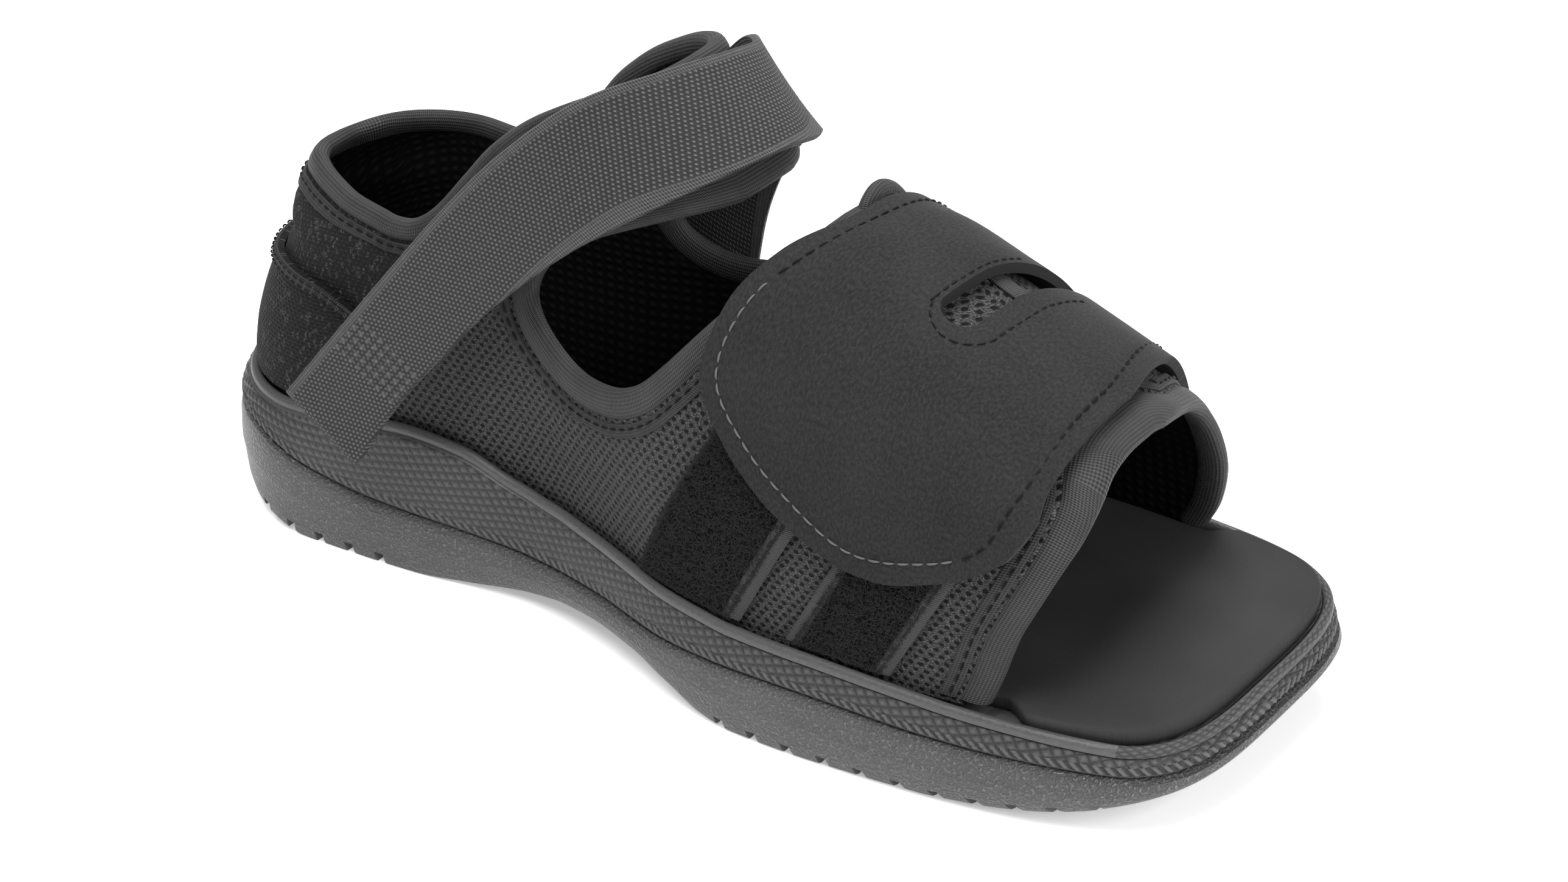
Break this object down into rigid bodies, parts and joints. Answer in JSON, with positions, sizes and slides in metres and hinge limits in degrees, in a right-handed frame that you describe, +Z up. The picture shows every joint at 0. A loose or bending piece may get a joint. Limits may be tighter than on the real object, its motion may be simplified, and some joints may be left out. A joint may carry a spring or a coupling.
{
  "type": "post operative shoe",
  "caption": "Open-toed post operative shoe with a rocker sole, mesh upper, forefoot cover flap and ankle strap.",
  "frame": {"origin": "on the ground below the middle of the heel's flat rest, on the shoe's centre line", "axes": "+X from heel to toe, +Z up, +Y to the far side, away from the ankle strap's free end"},
  "size_m": [0.2836, 0.105, 0.1378],
  "materials": {
    "sole_rubber": "satin",
    "band_rubber": "matte, knurled",
    "insole_foam": "fine-grained matte",
    "mesh_fabric": "open air mesh",
    "binding_tape": "ribbed satin tape",
    "counter_fabric": "flecked knit",
    "loop_pile": "brushed loop",
    "flap_suede": "brushed suede cloth",
    "strap_webbing": "honeycomb weave"
  },
  "bodies": {
    "root": {"outsole": "sole_rubber", "midsole": "band_rubber", "insole": "insole_foam", "upper": "mesh_fabric", "collar_binding": "binding_tape", "throat_binding": "binding_tape", "toe_binding": "binding_tape", "heel_counter": "counter_fabric", "loop_patch_1": "loop_pile", "loop_patch_2": "loop_pile", "cover_flap": "flap_suede", "ankle_flap": "mesh_fabric", "ankle_strap": "strap_webbing"}
  },
  "joints": []
}
